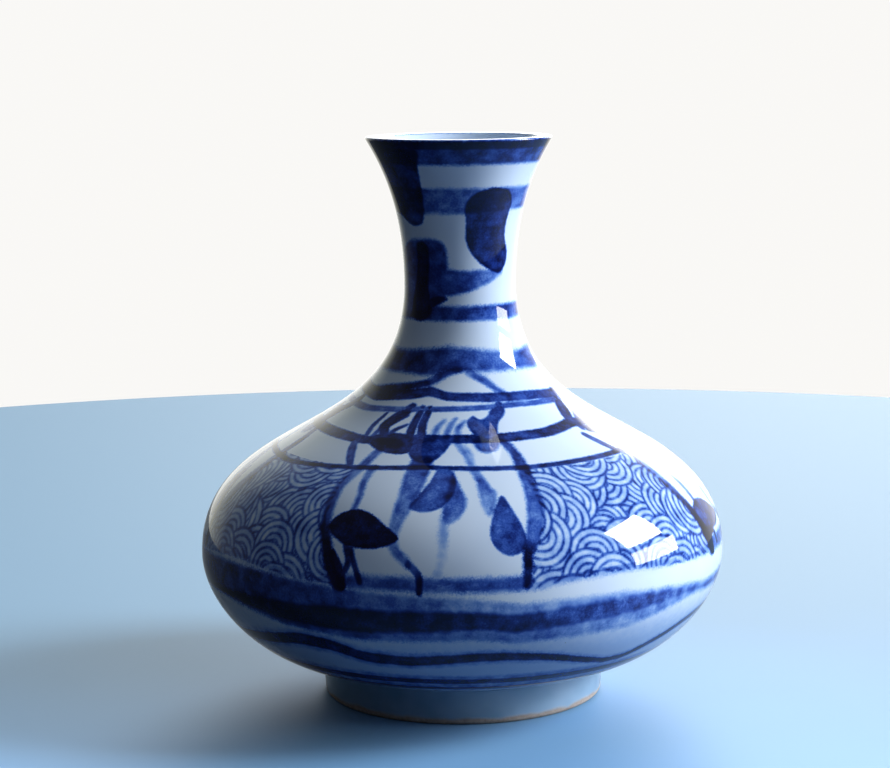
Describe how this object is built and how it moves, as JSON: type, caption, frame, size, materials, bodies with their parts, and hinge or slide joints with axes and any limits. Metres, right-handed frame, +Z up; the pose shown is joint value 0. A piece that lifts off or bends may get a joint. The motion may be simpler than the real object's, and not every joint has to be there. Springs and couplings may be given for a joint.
{
  "type": "sake bottle",
  "caption": "Squat porcelain sake bottle with a wide low body, slender waisted neck, flared mouth and low foot ring, painted in underglaze blue.",
  "frame": {"origin": "centre of the foot ring's bearing face, on the surface the bottle stands on", "axes": "+Z up along the bottle's axis, towards the mouth; -Y is the painted front"},
  "size_m": [0.0936, 0.0936, 0.1],
  "materials": {
    "painted_porcelain": "clear glossy glaze over cobalt blue brush painting on white porcelain",
    "bare_porcelain": "glazed sides with a bare, matt, warm grey bearing edge",
    "luting_slip": "matt fired slip"
  },
  "bodies": {
    "root": {"neck": "painted_porcelain", "shoulder": "painted_porcelain", "lower_bowl": "painted_porcelain", "foot_ring": "bare_porcelain", "neck_luting": "luting_slip", "belly_luting": "luting_slip", "foot_luting": "luting_slip"}
  },
  "joints": []
}
